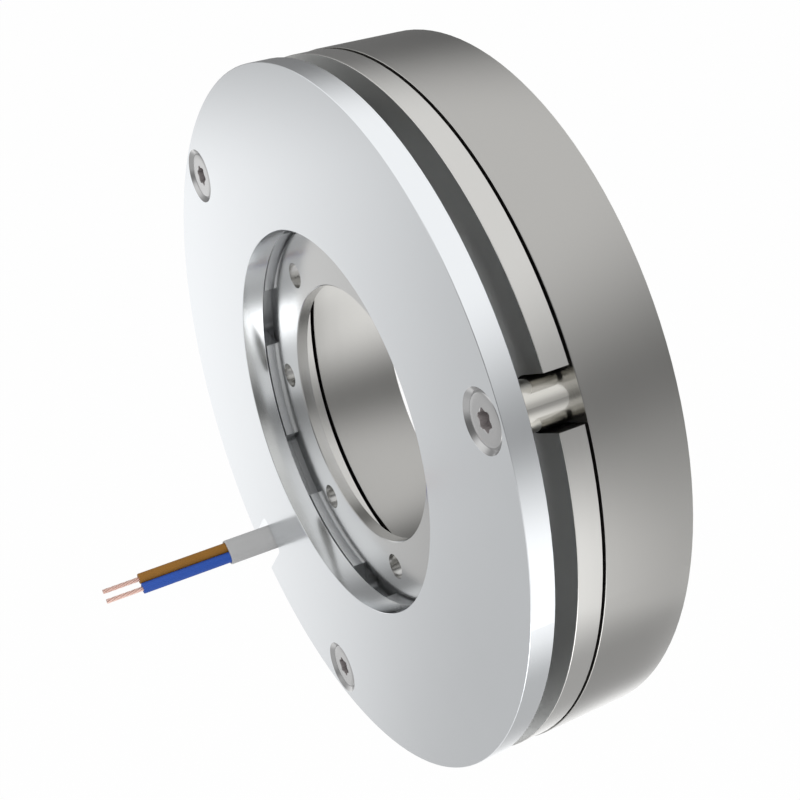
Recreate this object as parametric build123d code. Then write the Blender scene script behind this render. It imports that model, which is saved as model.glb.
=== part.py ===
from build123d import *
import os

# Slim spring-applied brake for the end of a servo motor or a robot joint, in millimetres.
# Pieces are laid out with the brake axis on +Z, front plate first, mounting face at Z = 0.
# They are turned at the end, so that the axis lies along +Y and the front plate faces -Y.
# Angles run from straight down towards -X, as seen from the front.

# Stack of the brake, front to back
plate_thickness = 2.7
rotor_thickness = 2.6
armature_thickness = 2.8
air_gap = 0.3
carrier_depth = 10.2

# Radii grow outwards from the hub's bore, through the hub, the rotor and the sleeves, to the rim.
armature_inset = 0.1
edge_break = 0.05
plate_hub_overlap = 0.05

# Screws and spacer sleeves that hold the plate off the coil carrier
screw_count = 3
screw_edge_distance = 3.6
thread_radius = 1.5
thread_clearance = 0.03
screw_head_radius = 2.75
screw_head_sink = 0.5
screw_head_bevel = 0.25
screw_length = 12.0
screw_tip_break = 0.3
screw_hole_clearance = 0.1
tapping_runout = 1.0
socket_radius = 0.88
socket_lobe_radius = 0.27
socket_depth = 1.0
sleeve_radius = 2.5
sleeve_notch_clearance = 0.25

# Hub, bolted to the shaft
hub_bore_radius = 15.0
hub_hole_count = 7
hub_hole_radius = 1.5
hub_hole_inset = 3.15
hub_rim_width = 4.05
hub_chamfer = 0.6
hub_recess = 1.05
hub_back_clearance = 0.2
hub_edge_break = 0.1

# Drive lobes of the hub in the pockets of the rotor
lobe_count = 7
lobe_width = 8.0
lobe_reach = 3.2
lobe_corner_radius = 0.6
lobe_clearance = 0.08
lobe_offset_angle = 18.4

# Rotor and its friction linings
hub_to_rotor_gap = 0.2
rotor_rim_wall = 1.9
rotor_rim_clearance = 0.25
rotor_sleeve_clearance = 1.1
lining_width = 4.82
lining_thickness = 0.65
lining_edge_gap = 0.2

# Coil carrier, with a bore that the ends of the hub's screws clear
hub_stud_clearance = 0.05
armature_bore_step = 0.3
inner_pole_width = 5.7
carrier_floor = 3.0
mount_hole_radius = 1.25
mount_hole_depth = 6.0
mount_hole_chamfer = 0.3

# Brake springs, in pairs between the screws
springs_in_pair = 2
spring_pair_spread = 24.0
spring_mean_radius = 1.35
spring_wire_radius = 0.27
spring_turns = 6.0
spring_pocket_clearance = 0.25
spring_rim_wall = 1.9
spring_inner_wall = 1.7
spring_floor = 3.8

# Coil
coil_clearance = 0.1
bobbin_wall = 0.7
potting_thickness = 0.8
potting_recess = 0.2
winding_edge_gap = 0.3

# Cable
cable_angle = 34.0
cable_gap = 1.0
jacket_width = 3.3
jacket_height = 2.2
jacket_clearance = 0.05
jacket_reach = 6.2
jacket_inset = 3.0
cable_notch_clearance = 0.95
cable_notch_depth_clearance = 0.15
cable_notch_corner_radius = 0.8
grommet_wall = 0.55
grommet_depth = 5.0
grommet_clearance = 0.05
lead_radius = 0.675
lead_clearance = 0.025
lead_reach = 18.2
conductor_radius = 0.3
conductor_reach = 23.0

# Places along the axis
carrier_front = -carrier_depth
armature_back = carrier_front - air_gap
armature_front = armature_back - armature_thickness
plate_back = armature_front - rotor_thickness
plate_front = plate_back - plate_thickness
screw_head_front = plate_front + screw_head_sink - screw_head_bevel
screw_tip = screw_head_front + screw_length
hub_front = plate_back + hub_recess
hub_back = armature_front - hub_back_clearance
lobe_front = hub_front + hub_chamfer

# Radii that follow from the values above
hub_hole_circle_radius = hub_bore_radius + hub_hole_inset
hub_radius = hub_hole_circle_radius + hub_rim_width
plate_hole_radius = hub_radius - plate_hub_overlap
rotor_bore_radius = hub_radius + hub_to_rotor_gap
lobe_tip_radius = rotor_bore_radius + lobe_reach
rotor_rim_radius = lobe_tip_radius + lobe_clearance + rotor_rim_wall
rotor_radius = rotor_rim_radius + lining_width + 2 * lining_edge_gap
screw_hole_radius = thread_radius + screw_hole_clearance
screw_circle_radius = rotor_radius + rotor_sleeve_clearance + sleeve_radius
brake_radius = screw_circle_radius + screw_edge_distance
carrier_bore_radius = hub_hole_circle_radius + hub_hole_radius + hub_stud_clearance
armature_bore_radius = carrier_bore_radius + armature_bore_step
spring_pocket_radius = spring_mean_radius + spring_wire_radius + spring_pocket_clearance
spring_circle_radius = brake_radius - spring_rim_wall - spring_pocket_radius
coil_inner_radius = carrier_bore_radius + inner_pole_width
coil_outer_radius = spring_circle_radius - spring_pocket_radius - spring_inner_wall
cable_circle_radius = rotor_radius + cable_gap + jacket_height / 2
cable_notch_width = jacket_width + 2 * cable_notch_clearance
cable_notch_bottom_radius = cable_circle_radius - jacket_height / 2 - cable_notch_depth_clearance
grommet_width = jacket_width + 2 * grommet_wall
grommet_radius = cable_circle_radius + jacket_height / 2 + grommet_wall


def at_angle(angle):
    return Rot(0, 0, 90 + angle)


def around(count, first_angle=0.0):
    return [first_angle + 360 * index / count for index in range(count)]


def turned(points):
    profile = make_face(Polyline(*points, close=True))
    return revolve(Plane.XZ * profile, Axis.Z)


def ring(inner_radius, outer_radius, front, back, edge=0.0):
    if edge == 0:
        return turned([
            (inner_radius, front),
            (outer_radius, front),
            (outer_radius, back),
            (inner_radius, back),
        ])
    return turned([
        (inner_radius, front + edge),
        (inner_radius + edge, front),
        (outer_radius - edge, front),
        (outer_radius, front + edge),
        (outer_radius, back - edge),
        (outer_radius - edge, back),
        (inner_radius + edge, back),
        (inner_radius, back - edge),
    ])


def prism(outline, front, back):
    return Pos(0, 0, front) * extrude(outline, back - front)


def holes(circle_radius, angles, hole_radius, front, back):
    outline = Sketch()
    for angle in angles:
        outline += at_angle(angle) * Pos(circle_radius, 0) * Circle(hole_radius)
    return prism(outline, front, back)


def sleeve_notch(angle, front, back):
    # A slot open to the rim, with a round inner end about the sleeve.
    half_width = sleeve_radius + sleeve_notch_clearance
    reach = 2 * screw_edge_distance
    outline = Pos(screw_circle_radius, 0) * Circle(half_width)
    outline += Pos(screw_circle_radius + reach / 2, 0) * Rectangle(reach, 2 * half_width)
    return prism(at_angle(angle) * outline, front, back)


def cable_notch(front, back):
    # A square slot open to the rim, with small round inner corners.
    reach = 2 * (brake_radius - cable_notch_bottom_radius)
    outline = RectangleRounded(reach, cable_notch_width, cable_notch_corner_radius)
    place = Pos(cable_notch_bottom_radius + reach / 2, 0)
    return prism(at_angle(cable_angle) * place * outline, front, back)


screw_angles = around(screw_count)
mount_angles = around(screw_count, 180 / screw_count)
hub_hole_angles = around(hub_hole_count, 180)
lobe_angles = around(lobe_count, 180 + lobe_offset_angle)
spring_angles = [
    pair_angle + spring_pair_spread * (place - (springs_in_pair - 1) / 2)
    for pair_angle in mount_angles
    for place in range(springs_in_pair)
]


def flange_plate():
    plate = ring(plate_hole_radius, brake_radius, plate_front, plate_back, edge_break)
    mouth_radius = screw_head_radius + screw_head_sink
    countersink = turned([
        (0, plate_front),
        (mouth_radius, plate_front),
        (screw_hole_radius, plate_front + mouth_radius - screw_hole_radius),
        (screw_hole_radius, plate_back),
        (0, plate_back),
    ])
    for angle in screw_angles:
        plate -= at_angle(angle) * Pos(screw_circle_radius, 0, 0) * countersink
    return plate - cable_notch(plate_front, plate_back)


def plate_screw(angle):
    # The head's cone seats in the countersink, just under a small bevel round its face.
    seat = screw_head_front + screw_head_bevel
    screw = turned([
        (0, screw_head_front),
        (screw_head_radius - screw_head_bevel, screw_head_front),
        (screw_head_radius, seat),
        (thread_radius, seat + screw_head_radius - thread_radius),
        (thread_radius, screw_tip - screw_tip_break),
        (thread_radius - screw_tip_break, screw_tip),
        (0, screw_tip),
    ])
    socket = Circle(socket_radius)
    for lobe_angle in around(6):
        socket += Rot(0, 0, lobe_angle) * Pos(socket_radius, 0) * Circle(socket_lobe_radius)
    screw -= prism(socket, screw_head_front, screw_head_front + socket_depth)
    return at_angle(angle) * Pos(screw_circle_radius, 0, 0) * screw


def spacer_sleeve(angle):
    sleeve = ring(screw_hole_radius, sleeve_radius, plate_back, carrier_front)
    return at_angle(angle) * Pos(screw_circle_radius, 0, 0) * sleeve


def drive_lobes(clearance, front, back):
    # Round-cornered keys that reach out of the hub. The rotor's pockets are the same, larger.
    inner_end = hub_radius - 2 * lobe_corner_radius
    length = lobe_tip_radius + clearance - inner_end
    width = lobe_width + 2 * clearance
    key = RectangleRounded(length, width, lobe_corner_radius + clearance)
    outline = Sketch()
    for angle in lobe_angles:
        outline += at_angle(angle) * Pos(inner_end + length / 2, 0) * key
    return prism(outline, front, back)


def drive_hub():
    hub = turned([
        (hub_bore_radius, hub_front + hub_edge_break),
        (hub_bore_radius + hub_edge_break, hub_front),
        (hub_radius - hub_chamfer, hub_front),
        (hub_radius, lobe_front),
        (hub_radius, hub_back),
        (hub_bore_radius, hub_back),
    ])
    hub += drive_lobes(0.0, lobe_front, hub_back)
    hub -= holes(hub_hole_circle_radius, hub_hole_angles, hub_hole_radius, hub_front, hub_back)
    return hub


def rotor_carrier():
    rim_front = plate_back + rotor_rim_clearance
    rim_back = armature_front - rotor_rim_clearance
    web_front = plate_back + lining_thickness
    web_back = armature_front - lining_thickness
    rotor = turned([
        (rotor_bore_radius, rim_front),
        (rotor_rim_radius, rim_front),
        (rotor_rim_radius, web_front),
        (rotor_radius, web_front),
        (rotor_radius, web_back),
        (rotor_rim_radius, web_back),
        (rotor_rim_radius, rim_back),
        (rotor_bore_radius, rim_back),
    ])
    return rotor - drive_lobes(lobe_clearance, rim_front, rim_back)


def friction_lining(front, back):
    inner_radius = rotor_rim_radius + lining_edge_gap
    return ring(inner_radius, rotor_radius - lining_edge_gap, front, back)


def armature_disc():
    disc_radius = brake_radius - armature_inset
    disc = ring(armature_bore_radius, disc_radius, armature_front, armature_back, edge_break)
    for angle in screw_angles:
        disc -= sleeve_notch(angle, armature_front, armature_back)
    return disc - cable_notch(armature_front, armature_back)


def coil_carrier():
    carrier = ring(carrier_bore_radius, brake_radius, carrier_front, 0, edge_break)
    carrier -= ring(coil_inner_radius, coil_outer_radius, carrier_front, -carrier_floor)
    carrier -= holes(
        spring_circle_radius, spring_angles, spring_pocket_radius, carrier_front, -spring_floor
    )
    tapped_radius = thread_radius + thread_clearance
    carrier -= holes(
        screw_circle_radius,
        screw_angles,
        tapped_radius,
        carrier_front,
        screw_tip + tapping_runout,
    )
    mount_hole = turned([
        (0, -mount_hole_depth),
        (mount_hole_radius, -mount_hole_depth + mount_hole_radius),
        (mount_hole_radius, -mount_hole_chamfer),
        (mount_hole_radius + mount_hole_chamfer, 0),
        (0, 0),
    ])
    for angle in mount_angles:
        carrier -= at_angle(angle) * Pos(screw_circle_radius, 0, 0) * mount_hole
    slot_inner_radius = coil_outer_radius - grommet_wall
    slot_outer_radius = grommet_radius + grommet_clearance
    slot = Pos((slot_inner_radius + slot_outer_radius) / 2, 0) * Rectangle(
        slot_outer_radius - slot_inner_radius, grommet_width + 2 * grommet_clearance
    )
    slot_back = carrier_front + grommet_depth + grommet_clearance
    carrier -= prism(at_angle(cable_angle) * slot, carrier_front, slot_back)
    return carrier


def coil_bobbin():
    inner_radius = coil_inner_radius + coil_clearance
    outer_radius = coil_outer_radius - coil_clearance
    front = carrier_front + potting_recess + potting_thickness
    back = -carrier_floor
    return turned([
        (inner_radius, front),
        (outer_radius, front),
        (outer_radius, front + bobbin_wall),
        (inner_radius + bobbin_wall, front + bobbin_wall),
        (inner_radius + bobbin_wall, back - bobbin_wall),
        (outer_radius, back - bobbin_wall),
        (outer_radius, back),
        (inner_radius, back),
    ])


def coil_winding():
    front = carrier_front + potting_recess + potting_thickness + bobbin_wall
    inner_radius = coil_inner_radius + coil_clearance + bobbin_wall
    outer_radius = coil_outer_radius - coil_clearance - winding_edge_gap
    return ring(inner_radius, outer_radius, front, -carrier_floor - bobbin_wall)


def coil_potting():
    front = carrier_front + potting_recess
    return ring(coil_inner_radius, coil_outer_radius, front, front + potting_thickness)


def brake_spring(angle):
    # Open coil between the floor of its pocket and the back of the armature.
    length = -spring_floor - armature_back
    height = length - 2 * spring_wire_radius
    coil = Helix(height / spring_turns, height, spring_mean_radius)
    wire = Plane(coil @ 0, z_dir=coil % 0) * Circle(spring_wire_radius)
    spring = sweep(wire, coil, is_frenet=True)
    place = Pos(spring_circle_radius, 0, armature_back + spring_wire_radius)
    return at_angle(angle) * place * spring


def jacket_outline(clearance=0.0):
    height = jacket_height + 2 * clearance
    return Rot(0, 0, 90) * SlotOverall(jacket_width + 2 * clearance, height)


def cable_grommet():
    inner_radius = coil_outer_radius + grommet_clearance
    block = Pos((inner_radius + grommet_radius) / 2, 0) * Rectangle(
        grommet_radius - inner_radius, grommet_width
    )
    grommet = prism(block, carrier_front, carrier_front + grommet_depth)
    hole = Pos(cable_circle_radius, 0) * jacket_outline(jacket_clearance)
    grommet -= prism(hole, carrier_front, carrier_front + jacket_inset)
    return at_angle(cable_angle) * grommet


def cable_jacket():
    outline = jacket_outline()
    bore_height = 2 * (lead_radius + lead_clearance)
    bore_width = bore_height + 2 * lead_radius
    outline -= Rot(0, 0, 90) * SlotOverall(bore_width, bore_height)
    jacket = prism(
        Pos(cable_circle_radius, 0) * outline,
        plate_front - jacket_reach,
        carrier_front + jacket_inset,
    )
    return at_angle(cable_angle) * jacket


def cable_lead(side):
    place = Pos(cable_circle_radius, side * lead_radius)
    lead = prism(
        place * Circle(lead_radius), plate_front - lead_reach, carrier_front + jacket_inset
    )
    return at_angle(cable_angle) * lead


def lead_conductor(side):
    place = Pos(cable_circle_radius, side * lead_radius)
    conductor = prism(
        place * Circle(conductor_radius),
        plate_front - conductor_reach,
        plate_front - lead_reach,
    )
    return at_angle(cable_angle) * conductor


pieces = {
    "flange_plate": flange_plate(),
    "drive_hub": drive_hub(),
    "rotor_carrier": rotor_carrier(),
    "front_lining": friction_lining(plate_back, plate_back + lining_thickness),
    "rear_lining": friction_lining(armature_front - lining_thickness, armature_front),
    "armature_disc": armature_disc(),
    "coil_carrier": coil_carrier(),
    "coil_bobbin": coil_bobbin(),
    "coil_winding": coil_winding(),
    "coil_potting": coil_potting(),
    "cable_grommet": cable_grommet(),
    "cable_jacket": cable_jacket(),
    "brown_lead": cable_lead(1),
    "blue_lead": cable_lead(-1),
    "brown_conductor": lead_conductor(1),
    "blue_conductor": lead_conductor(-1),
}
for number, angle in enumerate(screw_angles, 1):
    pieces[f"plate_screw_{number}"] = plate_screw(angle)
    pieces[f"spacer_sleeve_{number}"] = spacer_sleeve(angle)
for number, angle in enumerate(spring_angles, 1):
    pieces[f"brake_spring_{number}"] = brake_spring(angle)

os.makedirs("parts", exist_ok=True)
axis_along_y = Rot(-90, 0, 0)
for name, piece in pieces.items():
    export_step(axis_along_y * piece, f"parts/{name}.step")
    print(name, round(piece.volume, 1))
print("outside diameter", 2 * brake_radius)
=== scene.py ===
import bpy
import bmesh
import math
from mathutils import Matrix, Vector


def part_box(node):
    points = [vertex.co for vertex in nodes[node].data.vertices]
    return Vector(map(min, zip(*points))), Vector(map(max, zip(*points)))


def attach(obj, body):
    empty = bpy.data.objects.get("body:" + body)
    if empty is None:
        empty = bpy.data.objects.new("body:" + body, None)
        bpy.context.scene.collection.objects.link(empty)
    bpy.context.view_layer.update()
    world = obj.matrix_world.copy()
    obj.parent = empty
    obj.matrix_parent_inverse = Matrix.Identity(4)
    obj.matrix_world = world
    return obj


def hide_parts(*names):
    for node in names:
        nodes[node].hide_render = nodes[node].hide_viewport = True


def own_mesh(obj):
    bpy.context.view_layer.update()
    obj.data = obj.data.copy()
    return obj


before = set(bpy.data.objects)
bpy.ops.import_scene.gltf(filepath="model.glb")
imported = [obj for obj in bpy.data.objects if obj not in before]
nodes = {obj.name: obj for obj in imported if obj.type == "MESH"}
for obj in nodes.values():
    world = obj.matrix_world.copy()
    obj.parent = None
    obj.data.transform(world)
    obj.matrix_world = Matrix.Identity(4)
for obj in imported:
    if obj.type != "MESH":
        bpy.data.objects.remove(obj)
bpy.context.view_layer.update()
mm = 0.001
scene = bpy.context.scene
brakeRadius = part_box("coil_carrier")[1].x
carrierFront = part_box("coil_carrier")[0].y
print("frame loaded:", len(nodes), "nodes, radius", round(brakeRadius / mm, 2), "mm")


# Camera at the photo's place: the brake is seen from the right, in front and above.
cameraView = {
    "place": (120.7, -76.4, 88.7),  # mm
    "azimuth": 60.93,
    "elevation": 32.68,
    "roll": -1.54,
    "lens": 64.8,
    "sensor": 36,
    "nearest": 0.01,  # m
    "farthest": 20,
}


def makeCamera():
    data = bpy.data.cameras.new("camera")
    data.lens = cameraView["lens"]
    data.sensor_width = cameraView["sensor"]
    data.clip_start = cameraView["nearest"]
    data.clip_end = cameraView["farthest"]
    camera = bpy.data.objects.new("camera", data)
    scene.collection.objects.link(camera)
    turn = Matrix.Rotation(math.radians(cameraView["azimuth"]), 4, "Z")
    tilt = Matrix.Rotation(math.radians(90 - cameraView["elevation"]), 4, "X")
    roll = Matrix.Rotation(math.radians(cameraView["roll"]), 4, "Z")
    place = Matrix.Translation(Vector(cameraView["place"]) * mm)
    camera.matrix_world = place @ turn @ tilt @ roll
    scene.camera = camera


makeCamera()
print("camera placed")


# Small helpers for node trees, meshes and Geometry Nodes

def addNode(tree, kind, inputs=None, **settings):
    node = tree.nodes.new(kind)
    for name, value in settings.items():
        setattr(node, name, value)
    for name, value in (inputs or {}).items():
        if isinstance(value, bpy.types.NodeSocket):
            tree.links.new(value, node.inputs[name])
        else:
            node.inputs[name].default_value = value
    return node


def maths(tree, operation, a, b=0.0, c=0.0):
    return addNode(tree, "ShaderNodeMath", {0: a, 1: b, 2: c}, operation=operation).outputs[0]


def meshObject(name, mesh, body):
    piece = bpy.data.objects.new(name, mesh)
    scene.collection.objects.link(piece)
    if body:
        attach(piece, body)
    return piece


def smoothByAngle(mesh, degrees=35):
    mesh.polygons.foreach_set("use_smooth", [True] * len(mesh.polygons))
    mesh.set_sharp_from_angle(angle=math.radians(degrees))


def loft(rings):
    # A skin over rings with equal counts of points; the ends are closed with fans.
    form = bmesh.new()
    rows = [[form.verts.new(point) for point in ring] for ring in rings]
    count = len(rows[0])
    for low, high in zip(rows, rows[1:]):
        for i in range(count):
            j = (i + 1) % count
            form.faces.new((low[i], low[j], high[j], high[i]))
    for row in (rows[0], rows[-1]):
        centre = form.verts.new(sum((v.co for v in row), Vector()) / count)
        for i in range(count):
            form.faces.new((row[i], row[(i + 1) % count], centre))
    bmesh.ops.recalc_face_normals(form, faces=form.faces)
    return form


def finishMesh(form, name, material=None, angle=35):
    mesh = bpy.data.meshes.new(name)
    form.to_mesh(mesh)
    form.free()
    smoothByAngle(mesh, angle)
    if material:
        mesh.materials.append(material)
    return mesh


def circle(radius, y, sides, wave=0.0, lobes=6):
    # Points round the Y axis; a wave makes a lobed outline.
    points = []
    for i in range(sides):
        angle = 2 * math.pi * i / sides
        reach = radius + wave * math.cos(lobes * angle)
        points.append(Vector((reach * math.cos(angle), y, reach * math.sin(angle))))
    return points


def placeOf(name):
    # Angle and radius of a node's middle. Angles run from straight down towards -X, seen from the front.
    low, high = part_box(name)
    middle = (low + high) / 2
    return math.degrees(math.atan2(-middle.x, -middle.z)), math.hypot(middle.x, middle.z)


# Materials

def newMaterial(name):
    material = bpy.data.materials.new(name)
    material.use_nodes = True
    tree = material.node_tree
    tree.nodes.clear()
    output = addNode(tree, "ShaderNodeOutputMaterial")
    shader = addNode(tree, "ShaderNodeBsdfPrincipled")
    tree.links.new(shader.outputs[0], output.inputs[0])
    return material, tree, shader


def outputOf(tree):
    return next(node for node in tree.nodes if node.type == "OUTPUT_MATERIAL")


def srgb(*levels):
    # A colour given in the 0 to 255 steps of a picture.
    def linear(level):
        share = level / 255
        return share / 12.92 if share <= 0.04045 else ((share + 0.055) / 1.055) ** 2.4
    return (*[linear(level) for level in levels], 1.0)


def unevenColour(tree, shader, share, dark, bright):
    # The base colour wanders between two tones.
    tone = addNode(tree, "ShaderNodeMix", {0: share}, data_type="RGBA")
    tone.inputs[6].default_value = dark
    tone.inputs[7].default_value = bright
    tree.links.new(tone.outputs[2], shader.inputs["Base Color"])


def shaded(colour, factor):
    return (*[min(1, c * factor) for c in colour[:3]], 1)


def addBump(tree, shader, height, strength, depth):
    bump = addNode(tree, "ShaderNodeBump", {"Strength": strength, "Distance": depth, "Height": height})
    tree.links.new(bump.outputs[0], shader.inputs["Normal"])


# What all bare metal has in common: noise scales per metre, depths in metres
metalGrain = {
    "fineScale": 9000.0,
    "cloudScale": 45.0,
    "cloudRange": (0.3, 0.7),
    "brighter": 0.6,
    "angleDrift": 0.00006,
    "depth": 0.0000006,
    "flatFacing": (0.9, 0.95),
}


def turnedCoordinates(tree):
    # Radius, depth and a little of the angle, so that marks run round the axis as a lathe cuts them.
    place = addNode(tree, "ShaderNodeTexCoord").outputs["Object"]
    parts = addNode(tree, "ShaderNodeSeparateXYZ", {0: place}).outputs
    square = maths(tree, "ADD", maths(tree, "MULTIPLY", parts[0], parts[0]),
                   maths(tree, "MULTIPLY", parts[2], parts[2]))
    radius = maths(tree, "SQRT", square)
    angle = maths(tree, "ARCTAN2", parts[0], parts[2])
    drift = maths(tree, "MULTIPLY", angle, metalGrain["angleDrift"])
    return addNode(tree, "ShaderNodeCombineXYZ", {0: radius, 1: parts[1], 2: drift}).outputs[0], place


def metal(name, colour, roughness, marks=0.4, markScale=5200, grain=0.3, shade=0.05, spread=0.05,
          flat=None, flatSides=(-1, 1)):
    # Bare metal: lathe or grinding marks, a fine grain, and a slow change of tone and gloss.
    # Where flat is given, it is the roughness of the faces square to the axis, on the sides named.
    material, tree, shader = newMaterial(name)
    turned, place = turnedCoordinates(tree)
    lines = addNode(tree, "ShaderNodeTexNoise",
                    {"Vector": turned, "Scale": markScale, "Detail": 2.0, "Roughness": 0.6})
    fine = addNode(tree, "ShaderNodeTexNoise",
                   {"Vector": place, "Scale": metalGrain["fineScale"], "Detail": 2.0, "Roughness": 0.7})
    clouds = addNode(tree, "ShaderNodeTexNoise",
                     {"Vector": place, "Scale": metalGrain["cloudScale"], "Detail": 4.0, "Roughness": 0.6})
    unevenColour(tree, shader, clouds.outputs[0], shaded(colour, 1 - shade),
                 shaded(colour, 1 + shade * metalGrain["brighter"]))
    low, high = metalGrain["cloudRange"]
    gloss = addNode(tree, "ShaderNodeMapRange", {
        0: clouds.outputs[0], 1: low, 2: high, 3: roughness - spread / 2, 4: roughness + spread / 2})
    rough = maths(tree, "ADD", gloss.outputs[0], maths(tree, "MULTIPLY", lines.outputs[0], spread))
    if flat:
        facing = addNode(tree, "ShaderNodeTexCoord").outputs["Normal"]
        facing = addNode(tree, "ShaderNodeSeparateXYZ", {0: facing}).outputs[1]
        start, full = metalGrain["flatFacing"]
        for side in flatSides:
            towards = addNode(tree, "ShaderNodeMapRange", {0: facing, 1: start * side, 2: full * side})
            rough = addNode(tree, "ShaderNodeMix", {0: towards.outputs[0], 2: rough, 3: flat}).outputs[0]
    tree.links.new(rough, shader.inputs["Roughness"])
    shader.inputs["Metallic"].default_value = 1.0
    height = maths(tree, "ADD", maths(tree, "MULTIPLY", lines.outputs[0], marks),
                   maths(tree, "MULTIPLY", fine.outputs[0], grain))
    addBump(tree, shader, height, 1.0, metalGrain["depth"])
    return material


plasticGrain = {
    "cloudScale": 300.0,
    "fineRange": (0.3, 0.7),
    "smoother": 0.05,
    "rougher": 0.08,
    "strength": 0.6,
}


def plastic(name, colour, roughness, shade=0.08, grainScale=2500, grain=0.000004, specular=0.5):
    # Moulded or extruded plastic with a fine matt grain and uneven colour.
    material, tree, shader = newMaterial(name)
    place = addNode(tree, "ShaderNodeTexCoord").outputs["Object"]
    clouds = addNode(tree, "ShaderNodeTexNoise",
                     {"Vector": place, "Scale": plasticGrain["cloudScale"], "Detail": 4.0})
    fine = addNode(tree, "ShaderNodeTexNoise",
                   {"Vector": place, "Scale": grainScale, "Detail": 3.0, "Roughness": 0.6})
    unevenColour(tree, shader, clouds.outputs[0], shaded(colour, 1 - shade), shaded(colour, 1 + shade))
    low, high = plasticGrain["fineRange"]
    gloss = addNode(tree, "ShaderNodeMapRange", {
        0: fine.outputs[0], 1: low, 2: high,
        3: roughness - plasticGrain["smoother"], 4: roughness + plasticGrain["rougher"]})
    tree.links.new(gloss.outputs[0], shader.inputs["Roughness"])
    shader.inputs["Specular IOR Level"].default_value = specular
    addBump(tree, shader, fine.outputs[0], plasticGrain["strength"], grain)
    return material


liningLook = {
    "speckScale": 1800.0,
    "cloudScale": 700.0,
    "binder": (0.3, srgb(44, 42, 40)),
    "fibre": (0.85, srgb(96, 88, 74)),
    "cloudShare": 0.6,
    "roughness": 0.85,
    "strength": 0.8,
    "depth": 0.00002,
}


def frictionLining():
    # Pressed friction material: dark binder with pale fibres and specks.
    material, tree, shader = newMaterial("frictionLining")
    place = addNode(tree, "ShaderNodeTexCoord").outputs["Object"]
    specks = addNode(tree, "ShaderNodeTexVoronoi", {"Vector": place, "Scale": liningLook["speckScale"]})
    clouds = addNode(tree, "ShaderNodeTexNoise",
                     {"Vector": place, "Scale": liningLook["cloudScale"], "Detail": 5.0})
    ramp = addNode(tree, "ShaderNodeValToRGB", {0: specks.outputs["Color"]})
    stops = ramp.color_ramp.elements
    stops[0].position, stops[0].color = liningLook["binder"]
    stops[1].position, stops[1].color = liningLook["fibre"]
    tone = addNode(tree, "ShaderNodeMix", {0: liningLook["cloudShare"]},
                   data_type="RGBA", blend_type="MULTIPLY")
    tree.links.new(ramp.outputs[0], tone.inputs[6])
    tree.links.new(clouds.outputs[0], tone.inputs[7])
    tree.links.new(tone.outputs[2], shader.inputs["Base Color"])
    shader.inputs["Roughness"].default_value = liningLook["roughness"]
    addBump(tree, shader, clouds.outputs[0], liningLook["strength"], liningLook["depth"])
    return material


windingLook = {
    "ridges": 21000.0,  # radians per metre
    "cloudScale": 150.0,
    "dark": srgb(150, 72, 34),
    "bright": srgb(196, 108, 58),
    "metallic": 0.85,
    "roughness": 0.3,
    "enamel": 0.5,
    "strength": 0.7,
    "depth": 0.00008,
}


def woundCopper():
    # Layers of enamelled wire, as ridges round the axis.
    material, tree, shader = newMaterial("woundCopper")
    turned, place = turnedCoordinates(tree)
    parts = addNode(tree, "ShaderNodeSeparateXYZ", {0: turned}).outputs
    turns = maths(tree, "SINE", maths(tree, "MULTIPLY", parts[0], windingLook["ridges"]))
    layers = maths(tree, "SINE", maths(tree, "MULTIPLY", parts[1], windingLook["ridges"]))
    clouds = addNode(tree, "ShaderNodeTexNoise",
                     {"Vector": place, "Scale": windingLook["cloudScale"], "Detail": 3.0})
    unevenColour(tree, shader, clouds.outputs[0], windingLook["dark"], windingLook["bright"])
    shader.inputs["Metallic"].default_value = windingLook["metallic"]
    shader.inputs["Roughness"].default_value = windingLook["roughness"]
    shader.inputs["Coat Weight"].default_value = windingLook["enamel"]
    height = maths(tree, "MAXIMUM", turns, layers)
    addBump(tree, shader, height, windingLook["strength"], windingLook["depth"])
    return material


def toneWhere(material, mask, colour):
    # Gives a finish another colour where the mask is 1.
    tree = material.node_tree
    shader = next(node for node in tree.nodes if node.type == "BSDF_PRINCIPLED")
    tone = addNode(tree, "ShaderNodeMix", {0: mask}, data_type="RGBA")
    tree.links.new(shader.inputs["Base Color"].links[0].from_socket, tone.inputs[6])
    tone.inputs[7].default_value = colour
    tree.links.new(tone.outputs[2], shader.inputs["Base Color"])
    return shader


# Painted shade in the countersunk screw seats: the ring's radius, its soft edge and its darker colour.
seatShadeLook = {"radius": 3.25, "edge": 0.02, "colour": srgb(210, 210, 210)}


def paintSeatShade(material):
    # Painted shade: the three countersunk screw seats get a darker colour than the face round them, standing
    # in for the dark reflections the seat cones show.
    tree = material.node_tree
    place = addNode(tree, "ShaderNodeTexCoord").outputs["Object"]
    flattened = addNode(tree, "ShaderNodeVectorMath", {0: place, 1: Vector((1, 0, 1))}, operation="MULTIPLY")
    nearest = 1.0  # m, far more than the brake's radius
    for number in (1, 2, 3):
        low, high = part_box(f"plate_screw_{number}")
        axis = (low + high) / 2
        axis.y = 0
        away = addNode(tree, "ShaderNodeVectorMath", {0: flattened.outputs[0], 1: axis}, operation="DISTANCE")
        nearest = maths(tree, "MINIMUM", nearest, away.outputs["Value"])
    radius = seatShadeLook["radius"] * mm
    inside = addNode(tree, "ShaderNodeMapRange",
                     {0: nearest, 1: radius, 2: radius - seatShadeLook["edge"] * mm}).outputs[0]
    toneWhere(material, inside, seatShadeLook["colour"])


# Painted shade in the screw socket, and the roughness of the bright screw head.
socketShadeAndHeadGloss = {"colour": srgb(128, 122, 122), "headRoughness": 0.24}


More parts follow.
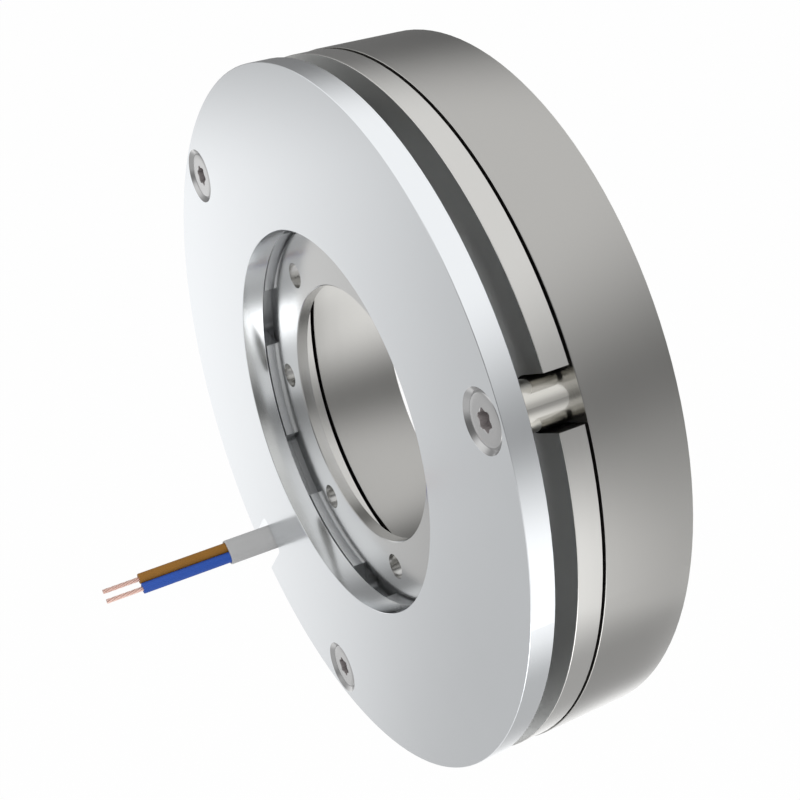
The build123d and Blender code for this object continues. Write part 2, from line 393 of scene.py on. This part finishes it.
def paintSocketShade(material):
    # Painted shade: where the screw's mesh marks the socket, it gets a dull, dark, non-metal grey that stands
    # in for the shade deep in the recess.
    tree = material.node_tree
    inside = addNode(tree, "ShaderNodeAttribute", attribute_name="socketShade").outputs["Fac"]
    shader = toneWhere(material, inside, socketShadeAndHeadGloss["colour"])
    tree.links.new(maths(tree, "SUBTRACT", 1.0, inside), shader.inputs["Metallic"])
    tree.links.new(maths(tree, "MAXIMUM", inside, socketShadeAndHeadGloss["headRoughness"]), shader.inputs["Roughness"])


# One finish for each node that keeps its solid
finishes = {
    "flange_plate": metal("groundPlate", srgb(248, 251, 254), 0.15, marks=0.25, grain=0.25, shade=0.02,
                          flat=0.42, flatSides=(1,)),
    "armature_disc": metal("turnedArmature", srgb(217, 216, 213), 0.17, shade=0.03, flat=0.32),
    "coil_carrier": metal("platedCarrier", srgb(189, 188, 185), 0.2, marks=0.5, shade=0.03),
    "drive_hub": metal("turnedHub", srgb(211, 211, 210), 0.16, shade=0.03),
    "rotor_carrier": metal("rotorAluminium", srgb(236, 238, 240), 0.5, marks=0.7),
    "front_lining": frictionLining(),
    "coil_bobbin": plastic("bobbinNylon", srgb(38, 38, 40), 0.5),
    "coil_winding": woundCopper(),
    "coil_potting": plastic("pottingResin", srgb(30, 30, 32), 0.35, grainScale=900),
    "cable_grommet": plastic("grommetRubber", srgb(40, 40, 42), 0.6),
    "spacer_sleeve_1": metal("turnedSleeve", srgb(222, 220, 214), 0.14, marks=0.8, markScale=7000),
}
finishes["rear_lining"] = finishes["front_lining"]
for number in (2, 3):
    finishes[f"spacer_sleeve_{number}"] = finishes["spacer_sleeve_1"]
# The flange plate's screw seats get their painted shade.
paintSeatShade(finishes["flange_plate"])

# Finishes of the pieces made here
screwSteel = metal("screwSteel", srgb(216, 216, 216), socketShadeAndHeadGloss["headRoughness"], marks=0.3, grain=0.6)
paintSocketShade(screwSteel)
springSteel = metal("springSteel", srgb(150, 146, 138), 0.3, marks=0.2, grain=0.8)
jacketVinyl = plastic("jacketVinyl", srgb(178, 178, 178), 0.5, shade=0.03)
brownVinyl = plastic("brownVinyl", srgb(146, 100, 32), 0.55, specular=0.3)
blueVinyl = plastic("blueVinyl", srgb(40, 82, 172), 0.55, specular=0.3)
bareCopper = metal("bareCopper", srgb(252, 218, 206), 0.36, marks=0.0, grain=0.6)

for name, material in finishes.items():
    for slot in nodes[name].material_slots:
        slot.material = material
print("materials made:", len(bpy.data.materials))


# Geometry Nodes trees

def newTree(name, sockets):
    tree = bpy.data.node_groups.new(name, "GeometryNodeTree")
    for label, kind, value in sockets:
        socket = tree.interface.new_socket(label, in_out="INPUT", socket_type=kind)
        if value is not None:
            socket.default_value = value
    tree.interface.new_socket("Geometry", in_out="OUTPUT", socket_type="NodeSocketGeometry")
    return tree, tree.nodes.new("NodeGroupInput").outputs, tree.nodes.new("NodeGroupOutput")


def finishTree(tree, geometry, material, result):
    real = addNode(tree, "GeometryNodeRealizeInstances", {"Geometry": geometry})
    coated = addNode(tree, "GeometryNodeSetMaterial", {"Geometry": real.outputs[0], "Material": material})
    tree.links.new(coated.outputs[0], result.inputs[0])
    return tree


def helixTree():
    # A wire wound on a helix round Y, with ends that can lie close.
    tree, given, result = newTree("helixWire", (
        ("Turns", "NodeSocketFloat", 6.0), ("Coil Radius", "NodeSocketFloat", 0.00135),
        ("Length", "NodeSocketFloat", 0.006), ("Wire Radius", "NodeSocketFloat", 0.00027),
        ("Closed Ends", "NodeSocketFloat", 1.0), ("Steps", "NodeSocketInt", 240),
        ("Sides", "NodeSocketInt", 12), ("Ground Ends", "NodeSocketFloat", 0.0),
        ("Material", "NodeSocketMaterial", None)))
    line = addNode(tree, "GeometryNodeCurvePrimitiveLine")
    points = addNode(tree, "GeometryNodeResampleCurve", {"Curve": line.outputs[0], "Count": given["Steps"]})
    share = addNode(tree, "GeometryNodeSplineParameter").outputs["Factor"]
    angle = maths(tree, "MULTIPLY", maths(tree, "MULTIPLY", share, given["Turns"]), 2 * math.pi)
    eased = addNode(tree, "ShaderNodeMapRange", {0: share}, interpolation_type="SMOOTHSTEP").outputs[0]
    travel = addNode(tree, "ShaderNodeMix", {0: given["Closed Ends"], 2: share, 3: eased}).outputs[0]
    depth = maths(tree, "MULTIPLY", travel, given["Length"])
    across = maths(tree, "MULTIPLY", maths(tree, "COSINE", angle), given["Coil Radius"])
    upward = maths(tree, "MULTIPLY", maths(tree, "SINE", angle), given["Coil Radius"])
    place = addNode(tree, "ShaderNodeCombineXYZ", {0: across, 1: depth, 2: upward}).outputs[0]
    wound = addNode(tree, "GeometryNodeSetPosition", {"Geometry": points.outputs[0], "Position": place})
    section = addNode(tree, "GeometryNodeCurvePrimitiveCircle",
                      {"Resolution": given["Sides"], "Radius": given["Wire Radius"]})
    wire = addNode(tree, "GeometryNodeCurveToMesh",
                   {"Curve": wound.outputs[0], "Profile Curve": section.outputs[0], "Fill Caps": True})
    # Ground ends: what stands past the end planes is pressed flat.
    where = addNode(tree, "GeometryNodeInputPosition").outputs[0]
    parts = addNode(tree, "ShaderNodeSeparateXYZ", {0: where}).outputs
    sunk = maths(tree, "SUBTRACT", given["Ground Ends"], 1.0)
    lowest = maths(tree, "MULTIPLY", given["Wire Radius"], sunk)
    highest = maths(tree, "SUBTRACT", given["Length"], lowest)
    kept = maths(tree, "MINIMUM", maths(tree, "MAXIMUM", parts[1], lowest), highest)
    flat = addNode(tree, "ShaderNodeCombineXYZ", {0: parts[0], 1: kept, 2: parts[2]}).outputs[0]
    ground = addNode(tree, "GeometryNodeSetPosition", {"Geometry": wire.outputs[0], "Position": flat})
    return finishTree(tree, ground.outputs[0], given["Material"], result)


def ringTree():
    # Copies of one piece, turned round Y from the angle where it was made.
    tree, given, result = newTree("setAround", (
        ("Item", "NodeSocketObject", None), ("Count", "NodeSocketInt", 3),
        ("First Angle", "NodeSocketFloat", 0.0), ("Step Angle", "NodeSocketFloat", 120.0),
        ("Material", "NodeSocketMaterial", None)))
    spots = addNode(tree, "GeometryNodePoints", {"Count": given["Count"]})
    item = addNode(tree, "GeometryNodeObjectInfo", {"Object": given["Item"]}, transform_space="RELATIVE")
    order = addNode(tree, "GeometryNodeInputIndex").outputs[0]
    degrees = maths(tree, "ADD", given["First Angle"], maths(tree, "MULTIPLY", order, given["Step Angle"]))
    angle = maths(tree, "RADIANS", degrees)
    turn = addNode(tree, "ShaderNodeCombineXYZ", {1: angle}).outputs[0]
    copies = addNode(tree, "GeometryNodeInstanceOnPoints",
                     {"Points": spots.outputs[0], "Instance": item.outputs["Geometry"], "Rotation": turn})
    return finishTree(tree, copies.outputs[0], given["Material"], result)


def grow(name, tree, **inputs):
    # Runs a tree on an empty mesh and returns the plain mesh that it makes.
    carrier = bpy.data.objects.new(name + "Source", bpy.data.meshes.new(name + "Source"))
    scene.collection.objects.link(carrier)
    modifier = carrier.modifiers.new("tree", "NODES")
    modifier.node_group = tree
    for socket in tree.interface.items_tree:
        key = socket.name.replace(" ", "")
        key = key[0].lower() + key[1:]
        if socket.in_out == "INPUT" and key in inputs:
            modifier[socket.identifier] = inputs[key]
    bpy.context.view_layer.update()
    depsgraph = bpy.context.evaluated_depsgraph_get()
    mesh = bpy.data.meshes.new_from_object(carrier.evaluated_get(depsgraph))
    mesh.name = name
    carrier.modifiers.remove(modifier)
    bpy.data.objects.remove(carrier)
    return mesh


def spread(name, item, count, firstAngle, stepAngle):
    # One mesh of the item's copies round the brake's axis; the item itself goes.
    mesh = grow(name, aroundTree, item=item, count=count, firstAngle=float(firstAngle),
                stepAngle=float(stepAngle), material=item.data.materials[0])
    bpy.data.objects.remove(item)
    return mesh


wireTree = helixTree()
aroundTree = ringTree()
print("node trees made")


# Countersunk screws with a six-lobe socket and a rolled thread

plateScrew = {
    "sizes": {  # mm
        "headRadius": 2.75,
        "bevel": 0.25,
        "threadRadius": 1.47,
        "coreRadius": 1.28,
        "pitch": 0.5,
        "tipBreak": 0.3,
        "socketRadius": 1.06,
        "socketLobe": 0.13,
        "socketMouth": 0.06,
        "socketDepth": 1.0,
        "socketDip": 0.25,
    },
    "dipRadius": 0.35,  # of the socket's radius
    "floorRadius": 0.9,
    "floorLobe": 0.8,  # of the socket's lobes
    "wallDepth": 0.9,  # of the socket's depth
    "rounding": ((1.1, 0), (0.65, 0.12), (0.25, 0.45), (0, 1)),  # inwards and down, in bevels
    "threadEnds": 0.75,  # in pitches
    "sides": 72,
    "threadSides": 6,
    "stepsPerTurn": 24,
}


def makeScrew(top, tip, radius):
    s = {key: value * mm for key, value in plateScrew["sizes"].items()}
    sides = plateScrew["sides"]
    head, core, bevel = s["headRadius"], s["coreRadius"], s["bevel"]
    socket, lobe, floor = s["socketRadius"], s["socketLobe"], s["socketDepth"]
    mouth = socket + s["socketMouth"]
    neck = top + bevel + head - core
    rings = [
        circle(plateScrew["dipRadius"] * socket, top + floor + s["socketDip"], sides),
        circle(plateScrew["floorRadius"] * socket, top + floor, sides, plateScrew["floorLobe"] * lobe),
        circle(socket, top + plateScrew["wallDepth"] * floor, sides, lobe),
        circle(socket, top + s["socketMouth"], sides, lobe),
        circle(mouth, top, sides, lobe),
        circle((mouth + head) / 2, top, sides),
    ]
    rings += [circle(head - inwards * bevel, top + down * bevel, sides)
              for inwards, down in plateScrew["rounding"]]
    rings += [
        circle(core, neck, sides),
        circle(core, tip - s["tipBreak"], sides),
        circle(core - s["tipBreak"], tip, sides),
    ]
    form = loft(rings)
    # Marks the socket's points, where the finish paints shade.
    shade = form.verts.layers.float.new("socketShade")
    for vertex in form.verts:
        inSocket = math.hypot(vertex.co.x, vertex.co.z) < mouth + lobe and top < vertex.co.y < neck
        vertex[shade] = float(inSocket)
    bmesh.ops.translate(form, verts=form.verts, vec=Vector((0, 0, -radius)))
    screw = meshObject("screwItem", finishMesh(form, "screwItem", screwSteel, angle=30), None)
    plain = plateScrew["threadEnds"] * s["pitch"]
    length = tip - neck - 2 * plain
    turns = length / s["pitch"]
    thread = grow("thread", wireTree, turns=turns, coilRadius=core, length=length,
                  wireRadius=s["threadRadius"] - core, closedEnds=0.0,
                  steps=int(plateScrew["stepsPerTurn"] * turns), sides=plateScrew["threadSides"],
                  material=screwSteel)
    thread.transform(Matrix.Translation((0, neck + plain, -radius)))
    form = bmesh.new()
    form.from_mesh(screw.data)
    form.from_mesh(thread)
    form.to_mesh(screw.data)
    form.free()
    smoothByAngle(screw.data, degrees=40)
    return screw


screwLow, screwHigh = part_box("plate_screw_1")
screwAngle, screwCircle = placeOf("plate_screw_1")
screwItem = makeScrew(screwLow.y, screwHigh.y, screwCircle)
screwMesh = spread("plateScrews", screwItem, count=3, firstAngle=screwAngle, stepAngle=120)
screws = meshObject("plateScrews", screwMesh, "stator")
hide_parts("plate_screw_1", "plate_screw_2", "plate_screw_3")
print("screws made:", len(screws.data.polygons), "faces")


# Brake springs: round wire, closed and ground ends, in pairs between the screws

springSizes = {
    "turns": 7.0,
    "wireRadius": 0.27,  # mm
    "coilRadius": 1.35,
    "groundEnds": 0.5,  # of the wire's radius
    "keep": 0.955,  # of the length, when the armature is pulled back
    "steps": 260,
    "sides": 12,
}


def makeSprings():
    low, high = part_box("brake_spring_1")
    wire = springSizes["wireRadius"] * mm
    ground = springSizes["groundEnds"]
    length = high.y - low.y - 2 * wire * (1 - ground)
    angles = [placeOf(f"brake_spring_{number}") for number in range(1, 7)]
    spring = grow("springWire", wireTree, turns=springSizes["turns"],
                  coilRadius=springSizes["coilRadius"] * mm, length=length, wireRadius=wire,
                  closedEnds=1.0, steps=springSizes["steps"], sides=springSizes["sides"],
                  groundEnds=ground, material=springSteel)
    spring.transform(Matrix.Translation((0, low.y + wire * (1 - ground), -angles[0][1])))
    smoothByAngle(spring, degrees=60)
    form = bmesh.new()
    for place in (0, 1):
        item = meshObject("springItem", spring.copy(), None)
        half = spread("springHalf", item, count=3, firstAngle=angles[place][0], stepAngle=120)
        form.from_mesh(half)
    mesh = finishMesh(form, "brakeSprings", springSteel, angle=60)
    springs = meshObject("brakeSprings", mesh, "stator")
    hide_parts(*[f"brake_spring_{number}" for number in range(1, 7)])
    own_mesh(springs)


makeSprings()
print("springs made")


# Cable: oval jacket, two insulated leads and their bare twisted strands

cable = {
    "jacketWidth": 3.3,  # mm
    "jacketHeight": 2.2,
    "jacketEdge": 0.12,
    "boreDepth": 2,
    "boreClearance": 0.04,
    "leadRadius": 0.698,
    "leadEdge": 0.07,
    "strandCircle": 0.2,
    "strandRadius": 0.1,
    "strandPitch": 5.5,
    "strandInset": 1.2,
    "edgeStep": 0.3,  # of an edge's radius
    "route": (0, 0.3, 0.65, 1),
    "strands": 6,
    "sides": 40,
    "strandSteps": 64,
    "strandSides": 10,
    "coreSides": 12,
}


def slotOutline(width, height, y, steps):
    # A round-ended slot in the XZ plane, long side along X.
    points, half, radius = [], (width - height) / 2, height / 2
    for side in (0, 1):
        for i in range(steps):
            angle = math.pi * (side - 0.5 + i / (steps - 1))
            shift = half if side == 0 else -half
            points.append(Vector((shift + radius * math.cos(angle), y, radius * math.sin(angle))))
    return points


def makeJacket():
    low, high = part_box("cable_jacket")
    angle, radius = placeOf("cable_jacket")
    width, height = cable["jacketWidth"] * mm, cable["jacketHeight"] * mm
    edge = cable["jacketEdge"] * mm
    step = cable["edgeStep"] * edge
    bore = 2 * cable["leadRadius"] * mm + cable["boreClearance"] * mm
    steps = cable["sides"] // 2
    rings = [
        slotOutline(2 * bore, bore, low.y + cable["boreDepth"] * mm, steps),
        slotOutline(2 * bore, bore, low.y + step, steps),
        slotOutline(2 * bore + 2 * step, bore + 2 * step, low.y, steps),
        slotOutline(width - edge, height - edge, low.y, steps),
        slotOutline(width - step, height - step, low.y + step, steps),
        slotOutline(width, height, low.y + edge, steps),
        slotOutline(width, height, high.y - edge, steps),
        slotOutline(width - edge, height - edge, high.y, steps),
    ]
    form = loft(rings)
    bmesh.ops.translate(form, verts=form.verts, vec=Vector((0, 0, -radius)))
    mesh = finishMesh(form, "cableJacket", jacketVinyl, angle=50)
    mesh.transform(Matrix.Rotation(math.radians(angle), 4, "Y"))
    jacket = meshObject("cableJacket", mesh, "stator")
    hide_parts("cable_jacket")
    return jacket


def routeOf(name, points):
    # The smooth line of a route: a NURBS spline with the route's points as its control points.
    curve = bpy.data.curves.new(name, "CURVE")
    curve.dimensions = "3D"
    spline = curve.splines.new("NURBS")
    spline.points.add(len(points) - 1)
    for point, place in zip(spline.points, points):
        point.co = (*place, 1)
    spline.order_u = 3
    spline.use_endpoint_u = True
    spline.resolution_u = 16
    bare = bpy.data.objects.new(name, curve)
    mesh = bpy.data.meshes.new_from_object(bare)
    line = [v.co.copy() for v in mesh.vertices]
    bpy.data.objects.remove(bare)
    return line


def pointAlong(line, distance):
    for a, b in zip(line, line[1:]):
        step = (b - a).length
        if distance <= step:
            return a.lerp(b, distance / step), (b - a).normalized()
        distance -= step
    return line[-1].copy(), (line[-1] - line[-2]).normalized()


def makeLead(colour, material):
    leadLow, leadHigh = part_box(colour + "_lead")
    tipLow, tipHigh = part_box(colour + "_conductor")
    x, z = (leadLow.x + leadHigh.x) / 2, (leadLow.z + leadHigh.z) / 2
    start, tip = Vector((x, carrierFront, z)), Vector((x, tipLow.y, z))
    line = routeOf(colour + "Route", [start.lerp(tip, share) for share in cable["route"]])
    length = sum((b - a).length for a, b in zip(line, line[1:]))
    bare = length - (tipHigh.y - tipLow.y)
    radius, edge = cable["leadRadius"] * mm, cable["leadEdge"] * mm
    step = cable["edgeStep"] * edge
    profile = [(0, radius - edge), (edge, radius), (bare / 2, radius), (bare - edge, radius),
               (bare - step, radius - step), (bare, radius - edge)]
    rings = []
    for distance, reach in profile:
        centre, ahead = pointAlong(line, distance)
        turn = Vector((0, -1, 0)).rotation_difference(ahead).to_matrix()
        rings.append([centre + turn @ point for point in circle(reach, 0, cable["sides"])])
    form = loft(rings)
    mesh = finishMesh(form, colour + "Lead", material, angle=50)
    inset = cable["strandInset"] * mm
    strandLength = length - bare + inset
    strandRadius = cable["strandRadius"] * mm
    strand = grow("strand", wireTree, turns=strandLength / (cable["strandPitch"] * mm),
                  coilRadius=cable["strandCircle"] * mm, length=strandLength,
                  wireRadius=strandRadius, closedEnds=0.0, steps=cable["strandSteps"],
                  sides=cable["strandSides"], material=bareCopper)
    item = meshObject("strandItem", strand, None)
    count = cable["strands"]
    bundle = spread("strands", item, count=count, firstAngle=0, stepAngle=360 / count)
    core = loft([circle(strandRadius, y, cable["coreSides"]) for y in (0, strandLength)])
    core = finishMesh(core, "core", bareCopper, angle=50)
    ahead = Vector((0, 1, 0)).rotation_difference(pointAlong(line, bare)[1]).to_matrix().to_4x4()
    place = Matrix.Translation(pointAlong(line, bare - inset)[0]) @ ahead
    form = bmesh.new()
    form.from_mesh(mesh)
    for part in (bundle, core):
        part.transform(place)
        form.from_mesh(part)
        for face in form.faces[-len(part.polygons):]:
            face.material_index = 1
    form.to_mesh(mesh)
    form.free()
    mesh.materials.append(bareCopper)
    smoothByAngle(mesh, degrees=50)
    lead = meshObject(colour + "Lead", mesh, "stator")
    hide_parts(colour + "_lead", colour + "_conductor")
    return lead


jacket = makeJacket()
for colour, material in (("brown", brownVinyl), ("blue", blueVinyl)):
    lead = makeLead(colour, material)
    print(colour, "lead made:", len(lead.data.polygons), "faces")


# Studio: a white world, a pale floor, and a light tent that only reflections show

studio = {
    "whiteLevel": 1.0,
    "fillLevel": 0.9,
    "floorDrop": 0.55,  # m
    "floorRadius": 4.0,
    "floorSides": 96,
    "floorGlow": 0.92,
    "fibreScale": 60.0,
    "paperTones": (0.97, 1.0),
    "paperRoughness": 0.9,
}
tent = {
    "centre": (0, -9, 0),  # mm
    "radius": 150,
    "upper": 0.92,
    "band": (0.32, -0.06, -0.2),  # everywhere, and what the left and the back add
    "lower": 1.38,
    "under": 0.84,
    "bandTop": (16, 4, 15),  # degrees
    "upperEdge": (51, 8, 20),
    "bandFoot": (10.8, -7.8, 0),
    "lowerEdge": (-12.6, -0.8, 0),
    "backEdge": (0.3, 0.5, -20),
    "underEdges": (-60, -74),
    "sideBlend": 0.3,
    "walls": (  # in the lower half: azimuth, half width, softness, tone
        (-85, 50, 30, 1.06),
        (-5, 76, 38, 0.5),
        (82, 22, 14, 0.95),
    ),
    "patches": (  # azimuth, elevation, half width, half height, softness, tone
        (72, -8, 32, 22, 0.6, 0.85),
        (57, -40, 18, 20, 0.85, 2.5),
    ),
    "segments": (96, 64),
}
# A curved grey card below and beside the brake that glows and shows only in reflections: painted shade
# standing in for the brake's own shadow on the ground near it, as the lower rims reflect it. Angles run from
# straight right, downwards.
shadeCard = {
    "radius": 58,  # mm
    "tone": 0.45,
    "beside": (-30, -8),  # degrees: where the part at the side starts, and where it is full
    "below": (6, 34),
    "end": (78, 52),
    "front": (-16, -12),  # mm along the axis
    "back": (21, 17),
    "sideDepths": (-2, 14),
    "sideShares": (0.3, 0.78),
    "steps": 48,
}
keyLamp = {"place": (0.25, -0.2, 0.45), "size": 0.3, "power": 0.6}


def seenByEye(tree):
    # 1 for what the camera sees, also in metal and through glass.
    rays = addNode(tree, "ShaderNodeLightPath").outputs
    seen = maths(tree, "MAXIMUM", rays["Is Camera Ray"], rays["Is Glossy Ray"])
    return maths(tree, "MAXIMUM", seen, rays["Is Transmission Ray"])


def makeWorld():
    world = bpy.data.worlds.new("studio")
    world.use_nodes = True
    tree = world.node_tree
    tree.nodes.clear()
    fill = addNode(tree, "ShaderNodeBackground", {"Strength": studio["fillLevel"]})
    white = addNode(tree, "ShaderNodeBackground", {"Strength": studio["whiteLevel"]})
    for background in (fill, white):
        background.inputs["Color"].default_value = (1, 1, 1, 1)
    mix = addNode(tree, "ShaderNodeMixShader",
                  {0: seenByEye(tree), 1: fill.outputs[0], 2: white.outputs[0]})
    output = addNode(tree, "ShaderNodeOutputWorld")
    tree.links.new(mix.outputs[0], output.inputs[0])
    scene.world = world


def makeFloor():
    material, tree, shader = newMaterial("floorPaper")
    place = addNode(tree, "ShaderNodeTexCoord").outputs["Object"]
    fibres = addNode(tree, "ShaderNodeTexNoise",
                     {"Vector": place, "Scale": studio["fibreScale"], "Detail": 3.0})
    dark, bright = studio["paperTones"]
    unevenColour(tree, shader, fibres.outputs[0], (dark, dark, dark, 1), (bright, bright, bright, 1))
    shader.inputs["Roughness"].default_value = studio["paperRoughness"]
    white = addNode(tree, "ShaderNodeEmission", {"Color": (1, 1, 1, 1), "Strength": studio["whiteLevel"]})
    share = maths(tree, "MULTIPLY", seenByEye(tree), studio["floorGlow"])
    mix = addNode(tree, "ShaderNodeMixShader", {0: share, 1: shader.outputs[0], 2: white.outputs[0]})
    tree.links.new(mix.outputs[0], outputOf(tree).inputs[0])
    form = bmesh.new()
    bmesh.ops.create_circle(form, cap_ends=True, segments=studio["floorSides"],
                            radius=studio["floorRadius"])
    bmesh.ops.translate(form, verts=form.verts, vec=Vector((0, 0, -studio["floorDrop"])))
    floor = meshObject("floor", finishMesh(form, "floor", material), None)


def ease(tree, value, start, end):
    # 0 before the start, 1 past the end, and a soft change between them.
    return addNode(tree, "ShaderNodeMapRange", {0: value, 1: start, 2: end},
                   interpolation_type="SMOOTHSTEP").outputs[0]


def blend(tree, share, before, after):
    return addNode(tree, "ShaderNodeMix", {0: share, 2: before, 3: after}).outputs[0]


def tentTone(tree, place):
    # A grey level from the direction: bright above, a dark band at the horizon, brighter below.
    way = addNode(tree, "ShaderNodeVectorMath", {0: place}, operation="NORMALIZE").outputs[0]
    x, y, z = addNode(tree, "ShaderNodeSeparateXYZ", {0: way}).outputs
    elevation = maths(tree, "DEGREES", maths(tree, "ARCSINE", z))
    azimuth = maths(tree, "DEGREES", maths(tree, "ARCTAN2", x, maths(tree, "MULTIPLY", y, -1.0)))
    side = tent["sideBlend"]
    depth = blend(tree, ease(tree, x, -side, side), y, maths(tree, "ABSOLUTE", y))

    def level(name):
        base, left, back = tent[name]
        turned = maths(tree, "ADD", maths(tree, "MULTIPLY", x, -left), maths(tree, "MULTIPLY", depth, back))
        return maths(tree, "ADD", turned, base)

    lower = tent["lower"]
    for middle, half, soft, shade in tent["walls"]:
        off = maths(tree, "ABSOLUTE", maths(tree, "SUBTRACT", azimuth, middle))
        lower = blend(tree, ease(tree, off, half, half - soft), lower, shade)
    lower = blend(tree, ease(tree, elevation, *tent["underEdges"]), lower, tent["under"])
    near, far, fall = tent["backEdge"]
    fallen = maths(tree, "MULTIPLY", ease(tree, y, near, far), fall)
    lowerEdge = maths(tree, "ADD", level("lowerEdge"), fallen)
    tone = blend(tree, ease(tree, elevation, level("bandFoot"), lowerEdge), level("band"), lower)
    tone = blend(tree, ease(tree, elevation, level("bandTop"), level("upperEdge")), tone, tent["upper"])
    for aside, height, width, tall, soft, shade in tent["patches"]:
        across = maths(tree, "DIVIDE", maths(tree, "SUBTRACT", azimuth, aside), width)
        along = maths(tree, "DIVIDE", maths(tree, "SUBTRACT", elevation, height), tall)
        offset = addNode(tree, "ShaderNodeCombineXYZ", {0: across, 1: along}).outputs[0]
        reach = addNode(tree, "ShaderNodeVectorMath", {0: offset}, operation="LENGTH").outputs["Value"]
        tone = blend(tree, ease(tree, reach, 1.0, 1.0 - soft), tone, shade)
    return addNode(tree, "ShaderNodeCombineXYZ", {0: tone, 1: tone, 2: tone}).outputs[0]


def newGlow(name):
    # A material that only shines, with the place on the object for its pattern.
    material = bpy.data.materials.new(name)
    material.use_nodes = True
    tree = material.node_tree
    tree.nodes.clear()
    place = addNode(tree, "ShaderNodeTexCoord").outputs["Object"]
    cloth = addNode(tree, "ShaderNodeEmission", {"Strength": 1.0})
    output = addNode(tree, "ShaderNodeOutputMaterial")
    tree.links.new(cloth.outputs[0], output.inputs[0])
    return material, tree, place, cloth


def showInReflections(form, name, material, centre):
    piece = meshObject(name, finishMesh(form, name, material, angle=20), None)
    piece.location = Vector(centre) * mm
    piece.visible_camera = False
    piece.visible_diffuse = False
    piece.visible_shadow = False


def makeTent():
    material, tree, place, cloth = newGlow("lightTent")
    tree.links.new(tentTone(tree, place), cloth.inputs["Color"])
    around, upwards = tent["segments"]
    form = bmesh.new()
    bmesh.ops.create_uvsphere(form, u_segments=around, v_segments=upwards, radius=tent["radius"] * mm)
    showInReflections(form, "lightTent", material, tent["centre"])


def makeShadeCard():
    # The card is painted shade that fades into what lies behind it, towards its edges and towards the front
    # at its side.
    material, tree, place, cloth = newGlow("greyCard")
    cloth.inputs["Color"].default_value = (shadeCard["tone"], shadeCard["tone"], shadeCard["tone"], 1)
    x, y, z = addNode(tree, "ShaderNodeSeparateXYZ", {0: place}).outputs
    angle = maths(tree, "DEGREES", maths(tree, "ARCTAN2", maths(tree, "MULTIPLY", z, -1.0), x))
    depth = maths(tree, "DIVIDE", y, mm)
    (sideFront, sideBack), (least, most) = shadeCard["sideDepths"], shadeCard["sideShares"]
    beside = addNode(tree, "ShaderNodeMapRange",
                     {0: depth, 1: sideFront, 2: sideBack, 3: least, 4: most}).outputs[0]
    beside = maths(tree, "MULTIPLY", beside, ease(tree, angle, *shadeCard["beside"]))
    share = maths(tree, "MAXIMUM", ease(tree, angle, *shadeCard["below"]), beside)
    for value, edges in ((angle, shadeCard["end"]), (depth, shadeCard["back"]), (depth, shadeCard["front"])):
        share = maths(tree, "MULTIPLY", share, ease(tree, value, *edges))
    clear = addNode(tree, "ShaderNodeBsdfTransparent")
    mix = addNode(tree, "ShaderNodeMixShader", {0: share, 1: clear.outputs[0], 2: cloth.outputs[0]})
    tree.links.new(mix.outputs[0], outputOf(tree).inputs[0])
    form = bmesh.new()
    start, end, steps, reach = shadeCard["beside"][0], shadeCard["end"][0], shadeCard["steps"], shadeCard["radius"] * mm
    rows = []
    for edge in (shadeCard["front"][0], shadeCard["back"][0]):
        row = []
        for i in range(steps + 1):
            turn = math.radians(start + (end - start) * i / steps)
            row.append(form.verts.new((reach * math.cos(turn), edge * mm, -reach * math.sin(turn))))
        rows.append(row)
    for i in range(steps):
        form.faces.new((rows[0][i], rows[0][i + 1], rows[1][i + 1], rows[1][i]))
    showInReflections(form, "greyCard", material, (0, 0, 0))


def makeLamp():
    data = bpy.data.lights.new("keyLamp", "AREA")
    data.shape = "DISK"
    data.size = keyLamp["size"]
    data.energy = keyLamp["power"]
    lamp = bpy.data.objects.new("keyLamp", data)
    scene.collection.objects.link(lamp)
    place = Vector(keyLamp["place"])
    lamp.matrix_world = Matrix.Translation(place) @ place.to_track_quat("Z", "Y").to_matrix().to_4x4()
    lamp.visible_camera = False
    lamp.visible_glossy = False


makeWorld()
makeFloor()
makeTent()
makeShadeCard()
makeLamp()
scene.view_settings.view_transform = "Standard"
print("studio made")
